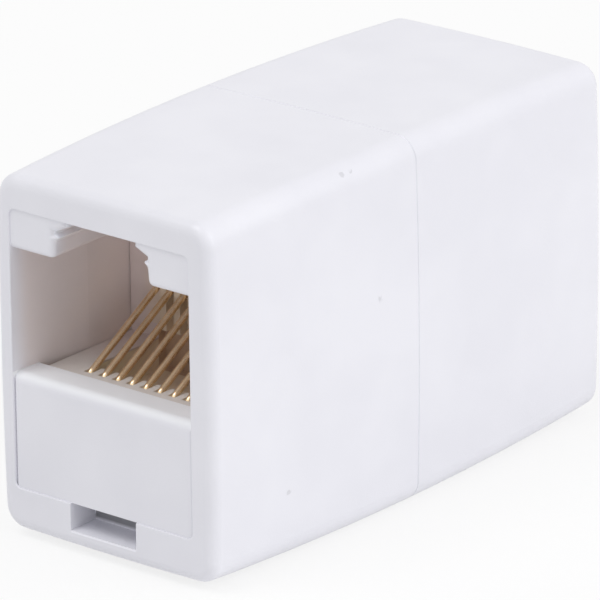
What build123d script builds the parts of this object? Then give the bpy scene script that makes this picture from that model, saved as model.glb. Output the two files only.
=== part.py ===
from build123d import *
import os

# RJ45 inline coupler: a crowned shell in two halves that joins two modular plugs end to end.
# Millimetres, +Z up, origin at the middle of the body on the parting plane.
# The coupler runs along Y, the front socket opens towards -Y and the latch side is +Z.

os.makedirs("parts", exist_ok=True)

# body
length = 35.0
crown = 0.41
side_bow = 0.19
top_bow = 0.1
corner_radius = 1.37
end_round = 0.68
parting_break = 0.06

# end face: a rim round the window, with the shoulders and the blank panel set back a little inside it
window_shift = -0.27
rim_side = 1.185
rim_top = 1.89
rim_bottom = 2.49
rim_break = 0.09
window_corner = 0.4
face_recess = 0.12
panel_height = 6.82
panel_thickness = 2.0
panel_edge_round = 0.2
lip_round = 0.6

# socket for the plug, narrowing towards the back of the rails
socket_width = 12.0
socket_height = 7.31
socket_depth = 9.0
lead_in = 0.45

# latch notch, from the top down, and the rails beside it
latch_height = 2.41
latch_top_width = 4.88
latch_width = 6.64
latch_foot_flare = 0.1
latch_step_height = 0.37
latch_slope_height = 0.4
latch_lip_thickness = 1.4
bead_height = 0.17
bead_reach = 0.28
bead_foot = 0.28
rail_length = 5.9
foot_round = 0.35
notch_break = 0.4

# blind slot under the panel, and the ledge behind it that carries the board
slot_width = 4.78
slot_height = 1.6
ledge_rise = 0.9
ledge_length = 1.5
ledge_side = 0.6

# lap joint between the halves
lap_length = 1.2
lap_thickness = 0.9
lap_floor_thickness = 0.5
lap_clearance = 0.05

# circuit board
board_thickness = 1.2
board_clearance = 0.1

# contacts
contact_count = 8
contact_pitch = 1.016
wire_diameter = 0.4
tail_length = 0.8
leg_bend = 0.4
first_row_step = 1.25
row_step = 2.54
arm_bend = 0.45
arm_bend_drop = 0.4
arm_angle = 30.0
arm_tip_gap = 0.30933
hole_clearance = 0.1

# contact block
block_clearance = 0.05
block_front_clearance = 0.05
block_drop = 0.2
strip_length = 1.8
leg_setback = 1.05
leg_slot_clearance = 0.02
leg_slot_side_clearance = 0.075
trough_depth = 1.9
trough_side = 0.4
undercut_height = 0.8
undercut_depth = 0.6
relief_height = 0.9
relief_side = 0.3
back_wall_thickness = 1.2
tooth_width = 0.42
tooth_length = 0.6
tooth_height = 4.7
peg_diameter = 1.0
peg_length = 1.5
peg_inset = 1.45
peg_depth = 6.6
peg_clearance = 0.1

# how close an edge must lie to be picked
pick_tolerance = 0.01

# heights, from the bottom up
end_height = rim_bottom + panel_height + socket_height + latch_height + rim_top
window_bottom = rim_bottom - end_height / 2
socket_floor = window_bottom + panel_height
shoulder_bottom = socket_floor + socket_height
window_top = shoulder_bottom + latch_height
bore_floor = window_bottom - slot_height
bore_height = window_top - bore_floor
bore_middle = (window_top + bore_floor) / 2
board_bottom = window_bottom + ledge_rise
board_top = board_bottom + board_thickness
block_top = socket_floor - block_drop

# widths
window_width = socket_width + 2 * lead_in
end_width = window_width + 2 * rim_side
block_width = socket_width - 2 * block_clearance
board_width = socket_width - 2 * abs(window_shift) - 2 * board_clearance
row_half = (contact_count - 1) / 2 * contact_pitch
trough_width = 2 * (row_half + trough_side)
leg_slot_width = wire_diameter + 2 * leg_slot_side_clearance

# depths behind the end face
half_length = length / 2
panel_back = face_recess + panel_thickness
rail_back = face_recess + rail_length
lip_back = face_recess + latch_lip_thickness
block_front = panel_back + block_front_clearance
leg_depth = block_front + leg_setback
leg_slot_front = leg_depth - wire_diameter / 2 - leg_slot_clearance
trough_front = block_front + strip_length
back_wall = socket_depth + tooth_length
block_back = back_wall + back_wall_thickness
arm_tip = back_wall - arm_tip_gap

end_plane = Plane(origin=(window_shift, -half_length, 0), x_dir=(1, 0, 0), z_dir=(0, -1, 0))


def at_depth(depth):
    """Plane this far behind the end face, drawn with x from the window's middle and height."""
    return end_plane.offset(-depth)


def level(height):
    """Level plane, drawn with x from the window's middle and the depth behind the end face."""
    return Plane(origin=(window_shift, -half_length, height), x_dir=(1, 0, 0), z_dir=(0, 0, 1))


def upright(x):
    """Upright plane along the coupler, this far from the window's middle, drawn with depth and height."""
    return Plane(origin=(window_shift + x, -half_length, 0), x_dir=(0, 1, 0), z_dir=(1, 0, 0))


def from_middle(edge):
    """How far the centre of an edge lies from the window's middle, to either side."""
    return abs(edge.center().X - window_shift)


def near(value, target):
    """True when two lengths agree."""
    return abs(value - target) < pick_tolerance


def contact_x(number):
    """Place of a contact from the window's middle, counted from 1."""
    return (number - 1) * contact_pitch - row_half


def hole_depth(number):
    """Depth of a contact's board hole, with odd and even contacts in two rows."""
    return leg_depth + first_row_step + row_step * ((number + 1) % 2)


# crowned body, cut at the parting plane
with BuildPart() as half_body:
    for station, growth in ((-half_length, 0), (0, crown), (half_length, 0)):
        right = end_width / 2 + growth
        top = end_height / 2 + growth
        with BuildSketch(Plane.XZ.offset(-station)):
            with BuildLine():
                ThreePointArc((-right, -top), (0, -top - top_bow), (right, -top))
                ThreePointArc((right, -top), (right + side_bow, 0), (right, top))
                ThreePointArc((right, top), (0, top + top_bow), (-right, top))
                ThreePointArc((-right, top), (-right - side_bow, 0), (-right, -top))
            section = make_face()
            fillet(section.vertices(), corner_radius)
    loft()
    end_face = half_body.faces().sort_by(Axis.Y)[0]
    fillet(end_face.edges(), end_round)
    split(bisect_by=Plane.XZ, keep=Keep.TOP)
    parting_face = half_body.faces().sort_by(Axis.Y)[-1]
    chamfer(parting_face.edges(), parting_break)

# blank panel under the socket, with rounded upright edges and a rounded lip
panel_middle = (face_recess + panel_back) / 2
with BuildPart() as panel:
    with BuildSketch(level(window_bottom)) as panel_plan:
        with Locations((0, panel_middle)):
            Rectangle(window_width, panel_thickness)
        fillet(panel_plan.vertices().group_by(Axis.Y)[0], panel_edge_round)
    extrude(amount=panel_height)
    with BuildSketch(upright(-window_width / 2)) as panel_profile:
        with Locations((panel_middle, (window_bottom + socket_floor) / 2)):
            Rectangle(panel_thickness, panel_height)
        fillet(panel_profile.vertices().group_by(Axis.Y)[-1].sort_by(Axis.X)[0], lip_round)
    extrude(amount=window_width, mode=Mode.INTERSECT)

# one half of the shell: window, socket, latch notch, slot and bore
with BuildPart() as half_shell:
    add(half_body.part)
    with BuildSketch(at_depth(rail_back)):
        with Locations((0, bore_middle)):
            Rectangle(socket_width, bore_height)
    extrude(amount=rail_back - half_length, mode=Mode.SUBTRACT)
    with BuildSketch(at_depth(panel_back)):
        with Locations((0, (bore_floor + socket_floor) / 2)):
            Rectangle(socket_width, socket_floor - bore_floor)
    extrude(amount=panel_back - rail_back, mode=Mode.SUBTRACT)

    # window, then the socket that narrows behind it, with the panel in its lower part
    with BuildSketch(end_plane):
        with Locations((0, (window_bottom + window_top) / 2)):
            RectangleRounded(window_width, window_top - window_bottom, window_corner)
    extrude(amount=-face_recess, mode=Mode.SUBTRACT)
    with BuildSketch(level(window_bottom)):
        with BuildLine():
            Polyline(
                (-window_width / 2, face_recess),
                (window_width / 2, face_recess),
                (socket_width / 2, rail_back),
                (-socket_width / 2, rail_back),
                close=True,
            )
        make_face()
    extrude(amount=shoulder_bottom - window_bottom, mode=Mode.SUBTRACT)
    add(panel.part)

    # latch notch: locking lips at the front, then a channel between the rails
    step = window_top - latch_step_height
    slope = step - latch_slope_height
    bead_top = slope - bead_height
    bead = bead_top - bead_height
    bead_bottom = bead - bead_foot
    for top_width, start, stop in (
        (latch_top_width, 0, lip_back),
        (latch_width, lip_back, rail_back),
    ):
        with BuildSketch(at_depth(start)):
            for side in (-1, 1):
                with BuildLine():
                    Polyline(
                        (0, window_top),
                        (side * top_width / 2, window_top),
                        (side * top_width / 2, step),
                        (side * latch_width / 2, slope),
                        (side * latch_width / 2, bead_top),
                        (side * (latch_width / 2 - bead_reach), bead),
                        (side * latch_width / 2, bead_bottom),
                        (side * (latch_width / 2 + latch_foot_flare), shoulder_bottom),
                        (0, shoulder_bottom),
                        close=True,
                    )
                make_face()
        extrude(amount=start - stop, mode=Mode.SUBTRACT)

    # slot under the panel, closed at the back by the ledge for the board
    with BuildSketch(end_plane):
        with Locations((0, window_bottom - slot_height / 2)):
            Rectangle(slot_width, slot_height)
    extrude(amount=-panel_back, mode=Mode.SUBTRACT)
    with BuildSketch(at_depth(panel_back)):
        with Locations((0, (bore_floor + board_bottom) / 2)):
            Rectangle(slot_width + 2 * ledge_side, board_bottom - bore_floor)
    extrude(amount=-ledge_length)

    # rounded feet of the rails
    foot_x = latch_width / 2 + latch_foot_flare
    foot_edges = half_shell.edges().filter_by(Axis.Y).filter_by(
        lambda e: near(e.center().Z, shoulder_bottom) and near(from_middle(e), foot_x)
    )
    fillet(foot_edges, foot_round)

    # softened front edges of the shoulders and softened rim of the window
    shoulder_edges = half_shell.edges().filter_by(
        lambda e: near(e.center().Y, face_recess - half_length)
        and from_middle(e) < window_width / 2 - window_corner
        and shoulder_bottom - pick_tolerance < e.center().Z < window_top - pick_tolerance
    )
    fillet(shoulder_edges, notch_break)
    rim_edges = half_shell.edges().filter_by(
        lambda e: near(e.center().Y, -half_length)
        and from_middle(e) < window_width / 2 + pick_tolerance
        and window_bottom - pick_tolerance < e.center().Z < window_top + pick_tolerance
    )
    fillet(rim_edges, rim_break)

# front half, with the tongue of the lap joint
lap_width = socket_width + 2 * lap_thickness
lap_height = bore_height + lap_thickness + lap_floor_thickness
lap_middle = bore_middle + (lap_thickness - lap_floor_thickness) / 2
with BuildPart() as front_shell:
    add(half_shell.part)
    with BuildSketch(Plane.XZ):
        with Locations((0, lap_middle)):
            Rectangle(lap_width, lap_height)
        with Locations((window_shift, bore_middle)):
            Rectangle(socket_width, bore_height, mode=Mode.SUBTRACT)
    extrude(amount=-lap_length)
front_shell.part.label = "front_shell"
export_step(front_shell.part, "parts/front_shell.step")

# rear half, the same moulding turned round, with the rebate of the lap joint
with BuildPart() as rear_shell:
    add(half_shell.part.rotate(Axis.Z, 180))
    with BuildSketch(Plane.XZ):
        with Locations((0, lap_middle)):
            Rectangle(lap_width + 2 * lap_clearance, lap_height + 2 * lap_clearance)
    extrude(amount=-lap_length - lap_clearance, mode=Mode.SUBTRACT)
rear_shell.part.label = "rear_shell"
export_step(rear_shell.part, "parts/rear_shell.step")

# board on the two ledges, with holes for the contact tails and the block pegs
peg_x = block_width / 2 - peg_inset
with BuildPart() as circuit_board:
    with BuildSketch(Plane.XY.offset(board_bottom)):
        Rectangle(board_width, length - 2 * (panel_back + board_clearance))
        for turn in (1, -1):
            for number in range(1, contact_count + 1):
                hole_x = window_shift + contact_x(number)
                with Locations((turn * hole_x, turn * (hole_depth(number) - half_length))):
                    Circle(wire_diameter / 2 + hole_clearance, mode=Mode.SUBTRACT)
            for side in (-1, 1):
                hole_x = window_shift + side * peg_x
                with Locations((turn * hole_x, turn * (block_front + peg_depth - half_length))):
                    Circle(peg_diameter / 2 + peg_clearance, mode=Mode.SUBTRACT)
    extrude(amount=board_thickness)
circuit_board.part.label = "circuit_board"
export_step(circuit_board.part, "parts/circuit_board.step")

# block that carries the contacts, with the back wall of the socket
with BuildPart() as front_contact_block:
    with BuildSketch(upright(-block_width / 2)):
        with BuildLine():
            Polyline(
                (block_front, board_top),
                (block_front, block_top),
                (back_wall, block_top),
                (back_wall, window_top - block_clearance),
                (block_back, window_top - block_clearance),
                (block_back, board_top),
                close=True,
            )
        make_face()
    extrude(amount=block_width)

    # trough that the arms sink into, undercut at the back, and relief for the legs under the block
    with BuildSketch(level(block_top)):
        with Locations((0, (trough_front + back_wall) / 2)):
            Rectangle(trough_width, back_wall - trough_front)
    extrude(amount=-trough_depth, mode=Mode.SUBTRACT)
    with BuildSketch(at_depth(back_wall)):
        with Locations((0, block_top + (undercut_height - trough_depth) / 2)):
            Rectangle(trough_width, undercut_height + trough_depth)
    extrude(amount=-undercut_depth, mode=Mode.SUBTRACT)
    with BuildSketch(level(board_top)):
        with Locations((0, (block_front + back_wall) / 2)):
            Rectangle(2 * (row_half + relief_side), back_wall - block_front)
    extrude(amount=relief_height, mode=Mode.SUBTRACT)

    # slots for the legs, open to the trough
    with BuildSketch(level(board_top)):
        for number in range(1, contact_count + 1):
            with Locations((contact_x(number), (leg_slot_front + trough_front) / 2)):
                Rectangle(leg_slot_width, trough_front - leg_slot_front)
    extrude(amount=block_top - board_top, mode=Mode.SUBTRACT)

    # comb that keeps the arm tips apart
    with BuildSketch(at_depth(socket_depth)):
        for number in range(1, contact_count):
            with Locations((contact_x(number + 0.5), block_top + (tooth_height + undercut_height) / 2)):
                Rectangle(tooth_width, tooth_height - undercut_height)
    extrude(amount=-tooth_length)

    # pegs that locate the block on the board
    with BuildSketch(level(board_top)):
        with Locations((-peg_x, block_front + peg_depth), (peg_x, block_front + peg_depth)):
            Circle(peg_diameter / 2)
    extrude(amount=-peg_length)
front_contact_block.part.label = "front_contact_block"
export_step(front_contact_block.part, "parts/front_contact_block.step")

with BuildPart() as rear_contact_block:
    add(front_contact_block.part.rotate(Axis.Z, 180))
rear_contact_block.part.label = "rear_contact_block"
export_step(rear_contact_block.part, "parts/rear_contact_block.step")

# spring contacts: tail, step to the front, leg, bend and rising arm
tail_end = board_bottom - tail_length
step_height = board_top + relief_height / 2
for number in range(1, contact_count + 1):
    with BuildPart() as front_contact:
        with BuildLine(upright(contact_x(number))) as spine:
            leg = FilletPolyline(
                (hole_depth(number), tail_end),
                (hole_depth(number), step_height),
                (leg_depth, step_height),
                (leg_depth, block_top - arm_bend_drop),
                radius=leg_bend,
            )
            bend = JernArc(leg @ 1, (0, 1), arm_bend, arm_angle - 90)
            PolarLine(bend @ 1, at_depth(arm_tip), arm_angle)
        with BuildSketch(level(tail_end)):
            with Locations((contact_x(number), hole_depth(number))):
                Circle(wire_diameter / 2)
        sweep(path=spine.line)
    front_contact.part.label = f"front_contact_{number}"
    export_step(front_contact.part, f"parts/front_contact_{number}.step")

    with BuildPart() as rear_contact:
        add(front_contact.part.rotate(Axis.Z, 180))
    rear_contact.part.label = f"rear_contact_{number}"
    export_step(rear_contact.part, f"parts/rear_contact_{number}.step")
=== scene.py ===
import math

import bpy
from mathutils import Matrix, Vector


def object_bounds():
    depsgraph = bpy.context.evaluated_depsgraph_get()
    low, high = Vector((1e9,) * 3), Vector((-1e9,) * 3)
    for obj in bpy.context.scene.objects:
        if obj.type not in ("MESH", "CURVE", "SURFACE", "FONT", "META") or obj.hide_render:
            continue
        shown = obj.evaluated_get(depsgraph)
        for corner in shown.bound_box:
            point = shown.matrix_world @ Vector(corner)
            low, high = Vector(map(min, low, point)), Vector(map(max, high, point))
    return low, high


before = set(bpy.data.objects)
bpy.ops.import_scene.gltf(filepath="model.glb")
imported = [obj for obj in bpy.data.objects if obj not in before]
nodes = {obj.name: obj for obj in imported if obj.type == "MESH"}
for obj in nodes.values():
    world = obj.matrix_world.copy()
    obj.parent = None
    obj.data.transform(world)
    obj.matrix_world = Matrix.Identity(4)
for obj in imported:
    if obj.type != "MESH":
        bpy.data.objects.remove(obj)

MM = 0.001
cad_low, cad_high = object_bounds()
scene = bpy.context.scene

# camera that took the photograph: where it stands round the coupler, and its focal length in pixels
AZIMUTH = math.radians(39.566)
ELEVATION = math.radians(20.525)
ROLL = math.radians(-0.687)
DISTANCE = 439.2 * MM
AIM_RIGHT = -0.302 * MM
AIM_UP = -0.459 * MM
FOCAL_PX = 7761.6
IMAGE_PX = 600
SENSOR = 36.0
CLIP_START = 10 * MM

# zones inside each socket that get painted light and shade, in millimetres from the middle of the coupler
# socket: where the painted light and shade behind its mouth and deep inside start and are full, its sides,
# floor and ceiling
SOCKET_MOUTH = 17.45
SOCKET_BEHIND_MOUTH = 15.9
SOCKET_DEEP_START = 14.0
SOCKET_DEEP_END = 8.5
SOCKET_SIDE = 6.9
SOCKET_LOW = -1.13
SOCKET_HIGH = 8.5
# back of the panel under the socket, and the floor of the bore behind it
PANEL_BACK = 15.37
BORE_FLOOR = -9.7
# trough behind the panel, which gets painted reflected light, and the undercut below the comb, which gets
# painted shade
TROUGH_TOP = -1.45
UNDERCUT_FRONT = 7.89
UNDERCUT_TOP = -0.54
# comb behind the wires: where its painted reflected light starts and is full from the sides inwards, its
# front and its top
COMB_FADE = 5.6
COMB_SIDE = 3.6
COMB_FRONT = 8.55
COMB_TOP = 3.6
# sill, which is the panel's top with its lip: where its painted light starts and is full, and its upper
# limit
SILL_LOW = -1.65
SILL_HIGH = -1.2
SILL_TOP = -1.12
# latch notch over the socket, which gets painted light where it lies in shade
NOTCH_SIDE = 4.2
NOTCH_LOW = 7.42
NOTCH_FRONT = 17.2

# slot under each panel in millimetres, and the painted light on its floor and the painted shade on the end
# above it
SLOT_MIDDLE = 0.27
SLOT_HALF_WIDTH = 2.36
SLOT_END = 15.3
SLOT_FLOOR = -9.56
SLOT_DARK = -9.35
SLOT_TOP = -8.0
SLOT_FLOOR_PAINTED_LIGHT = 1.14
SLOT_END_PAINTED_SHADE = 0.36

# small marks from handling on the right side and its upper edge: X, Y, Z and radius in millimetres
MARKS = (
    (7.68, -5.32, 10.42, 0.18),
    (7.66, -6.05, 10.44, 0.24),
    (8.21, -3.44, 2.47, 0.22),
    (7.99, -11.31, -6.63, 0.22),
)
MARK_TINT = (0.84, 0.84, 0.84)
# how far the outline of a mark wanders in millimetres, and the noise that it follows
MARK_WANDER = 0.5
MARK_NOISE_SCALE = 5.0
MARK_NOISE_DETAIL = 2.0

# noise of the moulded grain and the flow marks, and the share of the flow marks in the relief
GRAIN_DETAIL = 3.0
FLOW_DETAIL = 2.0
NOISE_ROUGHNESS = 0.55
FLOW_IN_RELIEF = 0.35

# slow tone changes of a moulding: flow noise at which its low and its high colour are reached
FLOW_LOW = 0.35
FLOW_HIGH = 0.65

# rubbed edges: width in millimetres, and the cosine of the angle between the rounded normal
# and the surface's own where the rub starts and where it is full
RUB_WIDTH = 0.25
RUB_START = 0.995
RUB_FULL = 0.90
RUB_SAMPLES = 4
# change of roughness along a rubbed edge, and by the grain to either side
RUB_ROUGHNESS = -0.08
GRAIN_ROUGHNESS = 0.05

# noise at which the plating and the board's coat reach their dark and their light colour
COAT_DARK = 0.3
COAT_LIGHT = 0.7

# white studio: half size of the floor in metres, its paint, and the share of it that is white to the eye
FLOOR_HALF = 1.5
FLOOR_PAINT = (0.9, 0.9, 0.9, 1.0)
FLOOR_WHITE = 0.8
# strength of the room's light on the object, and its colour
ROOM_LEVEL = 0.58
ROOM_COLOUR = (1.0, 1.0, 1.0, 1.0)

# sockets of a Mix node, which have the same names for every kind of data
MIX_FACTOR = 0
MIX_FLOAT_A = 2
MIX_FLOAT_B = 3
MIX_COLOUR_A = 6
MIX_COLOUR_B = 7
MIX_COLOUR_RESULT = 2

# how nodes are set out in a node tree
NODE_STEP = 220
NODES_IN_ROW = 8


def place_camera():
    """The photograph's camera, level apart from a slight roll."""
    back = Vector((
        math.sin(AZIMUTH) * math.cos(ELEVATION),
        -math.cos(AZIMUTH) * math.cos(ELEVATION),
        math.sin(ELEVATION),
    ))
    level_right = Vector((math.cos(AZIMUTH), math.sin(AZIMUTH), 0))
    level_up = back.cross(level_right)
    right = level_right * math.cos(ROLL) + level_up * math.sin(ROLL)
    up = level_up * math.cos(ROLL) - level_right * math.sin(ROLL)
    data = bpy.data.cameras.new("camera")
    data.sensor_width = SENSOR
    data.lens = FOCAL_PX * SENSOR / IMAGE_PX
    data.clip_start = CLIP_START
    camera = bpy.data.objects.new("camera", data)
    place = Matrix((right, up, back)).transposed().to_4x4()
    place.translation = back * DISTANCE + right * AIM_RIGHT + up * AIM_UP
    camera.matrix_world = place
    scene.collection.objects.link(camera)
    scene.camera = camera


def feed(tree, socket, value):
    """Links a socket to another one, or sets it to a plain value."""
    if isinstance(value, bpy.types.NodeSocket):
        tree.links.new(value, socket)
    else:
        socket.default_value = value


def add(tree, kind, **values):
    """A node of this kind, with its properties set and its sockets fed."""
    row, column = divmod(len(tree.nodes), NODES_IN_ROW)
    made = tree.nodes.new(kind)
    made.location = (column * NODE_STEP, -row * NODE_STEP)
    for name, value in values.items():
        if hasattr(made, name):
            setattr(made, name, value)
        else:
            feed(tree, made.inputs[name.replace("_", " ")], value)
    return made


def calculate(tree, operation, *values):
    """Result of a calculation with sockets and plain numbers."""
    made = add(tree, "ShaderNodeMath", operation=operation)
    for socket, value in zip(made.inputs, values):
        feed(tree, socket, value)
    return made.outputs[0]


def product(tree, mask, *others):
    """Mask that is 1 where all of these are."""
    for other in others:
        mask = calculate(tree, "MULTIPLY", mask, other)
    return mask


def remap(tree, source, start, stop, low=0.0, high=1.0, kind="LINEAR"):
    """A value that goes from low to high while its source goes from start to stop."""
    made = add(tree, "ShaderNodeMapRange", interpolation_type=kind, Value=source)
    for label, value in (("From Min", start), ("From Max", stop), ("To Min", low), ("To Max", high)):
        made.inputs[label].default_value = value
    return made.outputs["Result"]


def object_mm(tree):
    """Place on the object, in millimetres."""
    place = add(tree, "ShaderNodeTexCoord").outputs["Object"]
    return add(tree, "ShaderNodeVectorMath", operation="SCALE", Vector=place, Scale=1 / MM).outputs[0]


def new_group(name, inputs, outputs):
    """An empty shader node group with these sockets, and its two end nodes."""
    tree = bpy.data.node_groups.new(name, "ShaderNodeTree")
    for label, default in inputs:
        socket = tree.interface.new_socket(label, in_out="INPUT", socket_type="NodeSocketFloat")
        socket.default_value = default
    for label in outputs:
        tree.interface.new_socket(label, in_out="OUTPUT", socket_type="NodeSocketFloat")
    return tree, add(tree, "NodeGroupInput"), add(tree, "NodeGroupOutput")


def moulded_grain():
    """Fine spark-eroded grain and slow flow marks, with sizes in millimetres."""
    tree, start, end = new_group(
        "moulded_grain",
        [("Grain size", 0.12), ("Flow size", 6.0)],
        ["Height", "Grain", "Flow"],
    )
    place = object_mm(tree)
    noises = {}
    for label, detail in (("Grain", GRAIN_DETAIL), ("Flow", FLOW_DETAIL)):
        scale = calculate(tree, "DIVIDE", 1.0, start.outputs[f"{label} size"])
        noise = add(
            tree,
            "ShaderNodeTexNoise",
            Vector=place,
            Scale=scale,
            Detail=detail,
            Roughness=NOISE_ROUGHNESS,
        )
        noises[label] = noise.outputs["Fac"]
        tree.links.new(noises[label], end.inputs[label])
    height = calculate(tree, "MULTIPLY_ADD", noises["Flow"], FLOW_IN_RELIEF, noises["Grain"])
    tree.links.new(height, end.inputs["Height"])
    return tree


def edge_polish():
    """Mask that is 1 along the edges that hands and plugs rub, with a width in millimetres."""
    tree, start, end = new_group("edge_polish", [("Width", 0.3)], ["Mask"])
    radius = calculate(tree, "MULTIPLY", start.outputs["Width"], MM)
    rounded = add(tree, "ShaderNodeBevel", samples=RUB_SAMPLES, Radius=radius)
    surface = add(tree, "ShaderNodeNewGeometry")
    agree = add(tree, "ShaderNodeVectorMath", operation="DOT_PRODUCT")
    tree.links.new(rounded.outputs["Normal"], agree.inputs[0])
    tree.links.new(surface.outputs["Normal"], agree.inputs[1])
    tree.links.new(remap(tree, agree.outputs["Value"], RUB_START, RUB_FULL), end.inputs["Mask"])
    return tree


def inside_painted_light():
    """Masks of the zones inside the sockets, from the mouth to the back wall, where light and shade are
    painted into the colour.
    """
    labels = ["Mouth", "Deep", "Trough", "Undercut", "Comb", "Sill", "Notch"]
    tree, _, end = new_group("inside_painted_light", [], labels)
    place = add(tree, "ShaderNodeSeparateXYZ", Vector=object_mm(tree))
    across = calculate(tree, "ABSOLUTE", place.outputs["X"])
    along = calculate(tree, "ABSOLUTE", place.outputs["Y"])
    height = place.outputs["Z"]

    def below(source, limit):
        return calculate(tree, "LESS_THAN", source, limit)

    def above(source, limit):
        return calculate(tree, "GREATER_THAN", source, limit)

    def soft(source, start, stop):
        return remap(tree, source, start, stop, kind="SMOOTHSTEP")

    behind_panel = below(along, PANEL_BACK)
    between_sides = below(across, SOCKET_SIDE)
    clear_of_panel = calculate(tree, "MAXIMUM", behind_panel, above(height, SOCKET_LOW))
    inside = product(
        tree,
        clear_of_panel,
        above(height, BORE_FLOOR),
        below(height, SOCKET_HIGH),
        between_sides,
    )
    zones = {
        "Mouth": (inside, soft(along, SOCKET_MOUTH, SOCKET_BEHIND_MOUTH)),
        "Deep": (inside, soft(along, SOCKET_DEEP_START, SOCKET_DEEP_END)),
        "Trough": (inside, behind_panel, below(height, TROUGH_TOP), above(along, UNDERCUT_FRONT)),
        "Undercut": (inside, below(along, UNDERCUT_FRONT), below(height, UNDERCUT_TOP)),
        "Comb": (
            inside,
            above(height, UNDERCUT_TOP),
            below(height, COMB_TOP),
            below(along, COMB_FRONT),
            soft(across, COMB_FADE, COMB_SIDE),
        ),
        "Notch": (inside, below(across, NOTCH_SIDE), above(height, NOTCH_LOW), below(along, NOTCH_FRONT)),
        "Sill": (
            between_sides,
            above(along, PANEL_BACK),
            below(along, SOCKET_MOUTH),
            below(height, SILL_TOP),
            soft(height, SILL_LOW, SILL_HIGH),
        ),
    }
    for label, masks in zones.items():
        tree.links.new(product(tree, *masks), end.inputs[label])
    return tree


def slot_shade():
    """Tone that is 1 outside the slots, with painted light on the floor of each one and painted shade on
    the end above it.
    """
    tree, _, end = new_group("slot_shade", [], ["Tone"])
    place = add(tree, "ShaderNodeSeparateXYZ", Vector=object_mm(tree))
    end_side = calculate(tree, "SIGN", place.outputs["Y"])
    turned = calculate(tree, "MULTIPLY", place.outputs["X"], end_side)
    along = calculate(tree, "ABSOLUTE", place.outputs["Y"])
    height = place.outputs["Z"]
    within = product(
        tree,
        calculate(tree, "COMPARE", turned, SLOT_MIDDLE, SLOT_HALF_WIDTH),
        calculate(tree, "GREATER_THAN", along, SLOT_END),
        calculate(tree, "LESS_THAN", height, SLOT_TOP),
        calculate(tree, "GREATER_THAN", height, BORE_FLOOR),
    )
    fall = remap(tree, height, SLOT_FLOOR, SLOT_DARK, low=SLOT_FLOOR_PAINTED_LIGHT, high=SLOT_END_PAINTED_SHADE)
    tone = add(tree, "ShaderNodeMix", data_type="FLOAT")
    feed(tree, tone.inputs[MIX_FACTOR], within)
    feed(tree, tone.inputs[MIX_FLOAT_A], 1.0)
    feed(tree, tone.inputs[MIX_FLOAT_B], fall)
    tree.links.new(tone.outputs[0], end.inputs["Tone"])
    return tree


def handling_marks():
    """Mask that is 1 in the small ragged marks that handling has left."""
    tree, _, end = new_group("handling_marks", [], ["Mask"])
    place = object_mm(tree)
    ragged = add(
        tree,
        "ShaderNodeTexNoise",
        Vector=place,
        Scale=MARK_NOISE_SCALE,
        Detail=MARK_NOISE_DETAIL,
    )
    wandering = add(tree, "ShaderNodeVectorMath", operation="MULTIPLY_ADD")
    feed(tree, wandering.inputs[0], ragged.outputs["Color"])
    feed(tree, wandering.inputs[1], (MARK_WANDER, MARK_WANDER, MARK_WANDER))
    feed(tree, wandering.inputs[2], place)
    mask = 0.0
    for *middle, radius in MARKS:
        away = add(tree, "ShaderNodeVectorMath", operation="DISTANCE")
        feed(tree, away.inputs[0], wandering.outputs[0])
        feed(tree, away.inputs[1], [value + MARK_WANDER / 2 for value in middle])
        spot = remap(tree, away.outputs["Value"], radius, radius / 2, kind="SMOOTHSTEP")
        mask = calculate(tree, "MAXIMUM", mask, spot)
    tree.links.new(mask, end.inputs["Mask"])
    return tree


def new_tree(holder):
    """The emptied node tree of a material or a world."""
    holder.use_nodes = True
    holder.node_tree.nodes.clear()
    return holder.node_tree


def new_material(name):
    """A material with a Principled BSDF wired to its output."""
    material = bpy.data.materials.new(name)
    tree = new_tree(material)
    shader = add(tree, "ShaderNodeBsdfPrincipled")
    add(tree, "ShaderNodeOutputMaterial", Surface=shader.outputs["BSDF"])
    return material, tree, shader


def ramp(tree, source, *stops):
    """A colour that follows a value through these stops of position and colour."""
    made = add(tree, "ShaderNodeValToRGB", Fac=source)
    for element, (position, colour) in zip(made.color_ramp.elements, stops):
        element.position = position
        element.color = (*colour, 1.0)
    return made.outputs["Color"]


def tinted(tree, colour, mask, tint):
    """A colour multiplied by a tint as far as a mask goes."""
    made = add(tree, "ShaderNodeMix", data_type="RGBA", blend_type="MULTIPLY")
    feed(tree, made.inputs[MIX_FACTOR], mask)
    feed(tree, made.inputs[MIX_COLOUR_A], colour)
    feed(tree, made.inputs[MIX_COLOUR_B], tint)
    return made.outputs[MIX_COLOUR_RESULT]


def relief(tree, shader, height, depth):
    """Relief of this depth in metres on a shader."""
    made = add(tree, "ShaderNodeBump", Distance=depth, Strength=1.0, Height=height)
    tree.links.new(made.outputs["Normal"], shader.inputs["Normal"])


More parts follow.
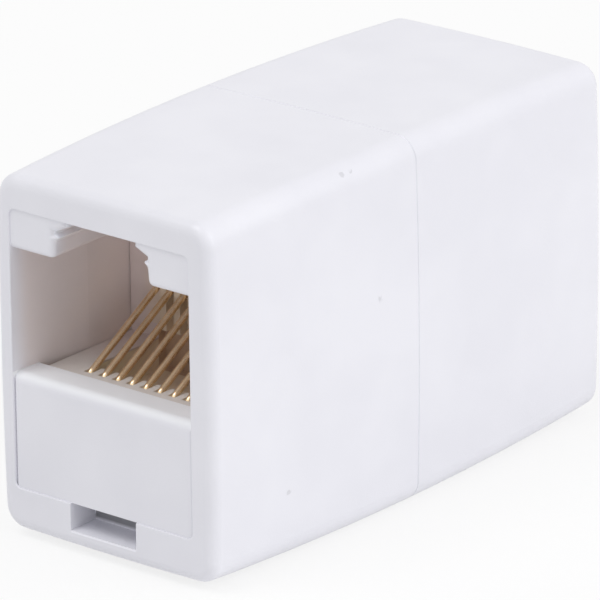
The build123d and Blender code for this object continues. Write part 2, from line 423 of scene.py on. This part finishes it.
def plastic(name, low, high, painted_light_tints, rough, grain_size, flow_size, depth, ior):
    """Moulded plastic: slow tone changes, painted light and shade by place, handling marks, fine grain and
    rubbed edges.
    """
    material, tree, shader = new_material(name)
    grain = add(tree, "ShaderNodeGroup", node_tree=GRAIN, Grain_size=grain_size, Flow_size=flow_size)
    edges = add(tree, "ShaderNodeGroup", node_tree=POLISH, Width=RUB_WIDTH)
    # masks of the zones inside the sockets where light and shade are painted into the colour
    inside = add(tree, "ShaderNodeGroup", node_tree=INSIDE_PAINTED_LIGHT)
    marks = add(tree, "ShaderNodeGroup", node_tree=HANDLING)
    # painted light on the slot floors and painted shade on the ends above them
    slot = add(tree, "ShaderNodeGroup", node_tree=SLOT)
    colour = ramp(tree, grain.outputs["Flow"], (FLOW_LOW, low), (FLOW_HIGH, high))
    # paints light and shade into the colour, zone by zone inside the sockets
    for label, tint in painted_light_tints.items():
        colour = tinted(tree, colour, inside.outputs[label], (*tint, 1.0))
    colour = tinted(tree, colour, marks.outputs["Mask"], (*MARK_TINT, 1.0))
    # paints light on the slot floors and shade on the ends above them
    colour = tinted(tree, colour, 1.0, slot.outputs["Tone"])
    tree.links.new(colour, shader.inputs["Base Color"])
    low_rough = rough - GRAIN_ROUGHNESS
    high_rough = rough + GRAIN_ROUGHNESS
    even = remap(tree, grain.outputs["Grain"], 0.0, 1.0, low=low_rough, high=high_rough)
    rubbed = calculate(tree, "MULTIPLY_ADD", edges.outputs["Mask"], RUB_ROUGHNESS, even)
    tree.links.new(rubbed, shader.inputs["Roughness"])
    relief(tree, shader, grain.outputs["Height"], depth)
    shader.inputs["IOR"].default_value = ior
    return material


def gold_plate():
    """Gold flash on spring wire, a little uneven in tone and gloss."""
    dull = (0.82, 0.62, 0.38)
    bright = (0.97, 0.78, 0.53)
    material, tree, shader = new_material("gold_plate")
    grain = add(tree, "ShaderNodeGroup", node_tree=GRAIN, Grain_size=0.06, Flow_size=1.2)
    colour = ramp(tree, grain.outputs["Flow"], (COAT_DARK, dull), (COAT_LIGHT, bright))
    tree.links.new(colour, shader.inputs["Base Color"])
    rough = remap(tree, grain.outputs["Grain"], 0.0, 1.0, low=0.18, high=0.34)
    tree.links.new(rough, shader.inputs["Roughness"])
    relief(tree, shader, grain.outputs["Height"], depth=0.004 * MM)
    shader.inputs["Metallic"].default_value = 1.0
    return material


def solder_resist():
    """Green coat of the circuit board, slightly mottled."""
    dark_green = (0.02, 0.13, 0.06)
    light_green = (0.04, 0.22, 0.10)
    material, tree, shader = new_material("solder_resist")
    grain = add(tree, "ShaderNodeGroup", node_tree=GRAIN, Grain_size=0.4, Flow_size=3.0)
    colour = ramp(tree, grain.outputs["Grain"], (COAT_DARK, dark_green), (COAT_LIGHT, light_green))
    tree.links.new(colour, shader.inputs["Base Color"])
    rough = remap(tree, grain.outputs["Flow"], 0.0, 1.0, low=0.28, high=0.42)
    tree.links.new(rough, shader.inputs["Roughness"])
    relief(tree, shader, grain.outputs["Height"], depth=0.01 * MM)
    return material


def dress(finishes, other):
    """Gives every CAD node the finish that belongs to the last word of its name, or the other one."""
    for name, piece in nodes.items():
        piece.data.materials.clear()
        piece.data.materials.append(finishes.get(name.split("_")[-1], other))


def soft_box(name, place, size, power):
    """A square soft light that faces the middle of the coupler."""
    data = bpy.data.lights.new(name, "AREA")
    data.size = size
    data.energy = power
    lamp = bpy.data.objects.new(name, data)
    lamp.location = place
    lamp.rotation_euler = (-Vector(place)).to_track_quat("-Z", "Y").to_euler()
    scene.collection.objects.link(lamp)


def seen_directly(tree):
    """1 where the eye, a reflection or a clear material looks straight at the surface."""
    path = add(tree, "ShaderNodeLightPath")
    reflected = calculate(tree, "MAXIMUM", path.outputs["Is Camera Ray"], path.outputs["Is Glossy Ray"])
    return calculate(tree, "MAXIMUM", reflected, path.outputs["Is Transmission Ray"])


def lay_floor():
    """Pale floor under the coupler, white to the eye where no shadow falls."""
    corners = [(-1, -1), (1, -1), (1, 1), (-1, 1)]
    mesh = bpy.data.meshes.new("floor")
    mesh.from_pydata([(x * FLOOR_HALF, y * FLOOR_HALF, 0) for x, y in corners], [], [(0, 1, 2, 3)])
    floor = bpy.data.objects.new("floor", mesh)
    floor.location.z = cad_low.z
    scene.collection.objects.link(floor)
    material = bpy.data.materials.new("studio_floor")
    tree = new_tree(material)
    paint = add(tree, "ShaderNodeBsdfDiffuse", Color=FLOOR_PAINT)
    white = add(tree, "ShaderNodeEmission", Strength=1.0)
    share = calculate(tree, "MULTIPLY", seen_directly(tree), FLOOR_WHITE)
    mix = add(tree, "ShaderNodeMixShader", Fac=share)
    tree.links.new(paint.outputs[0], mix.inputs[1])
    tree.links.new(white.outputs[0], mix.inputs[2])
    add(tree, "ShaderNodeOutputMaterial", Surface=mix.outputs[0])
    mesh.materials.append(material)


def light_room():
    """White room: an even light on the object, and plain white to the eye."""
    world = bpy.data.worlds.new("studio")
    scene.world = world
    tree = new_tree(world)
    strength = remap(tree, seen_directly(tree), 0.0, 1.0, low=ROOM_LEVEL, high=1.0)
    glow = add(tree, "ShaderNodeBackground", Color=ROOM_COLOUR, Strength=strength)
    add(tree, "ShaderNodeOutputWorld", Surface=glow.outputs[0])


GRAIN = moulded_grain()
HANDLING = handling_marks()
INSIDE_PAINTED_LIGHT = inside_painted_light()
POLISH = edge_polish()
SLOT = slot_shade()

white_shell = plastic(
    "white_shell",
    low=(0.79, 0.788, 0.845),
    high=(0.82, 0.818, 0.873),
    # painted light and shade inside the sockets: warm shade at the mouth and in the trough, light deep
    # inside, on the sill and in the notch
    painted_light_tints={
        "Mouth": (0.98, 0.90, 0.84),
        "Deep": (1.18, 1.16, 1.14),
        "Trough": (1.0, 0.95, 0.90),
        "Sill": (1.16, 1.18, 1.14),
        "Notch": (1.13, 1.16, 1.16),
    },
    rough=0.36,
    grain_size=0.10,
    flow_size=6.0,
    depth=0.006 * MM,
    ior=1.52,
)
beige_block = plastic(
    "beige_block",
    low=(0.74, 0.71, 0.68),
    high=(0.82, 0.79, 0.76),
    # painted light and shade inside the sockets: warm reflected light in the trough and on the comb, brown
    # shade in the undercut, slight shade at the mouth and deep inside
    painted_light_tints={
        "Mouth": (1.0, 0.98, 0.97),
        "Deep": (1.02, 0.93, 0.95),
        "Trough": (1.20, 1.18, 0.98),
        "Undercut": (0.85, 0.72, 0.55),
        "Comb": (1.08, 1.05, 0.86),
    },
    rough=0.5,
    grain_size=0.08,
    flow_size=2.5,
    depth=0.006 * MM,
    ior=1.5,
)
dress({"shell": white_shell, "block": beige_block, "board": solder_resist()}, gold_plate())

place_camera()
lay_floor()
light_room()
soft_box("key", place=(0.95, 0.20, 0.55), size=1.0, power=5.4)
soft_box("overhead", place=(-0.25, -0.45, 1.00), size=0.5, power=3.5)

scene.view_settings.view_transform = "Standard"
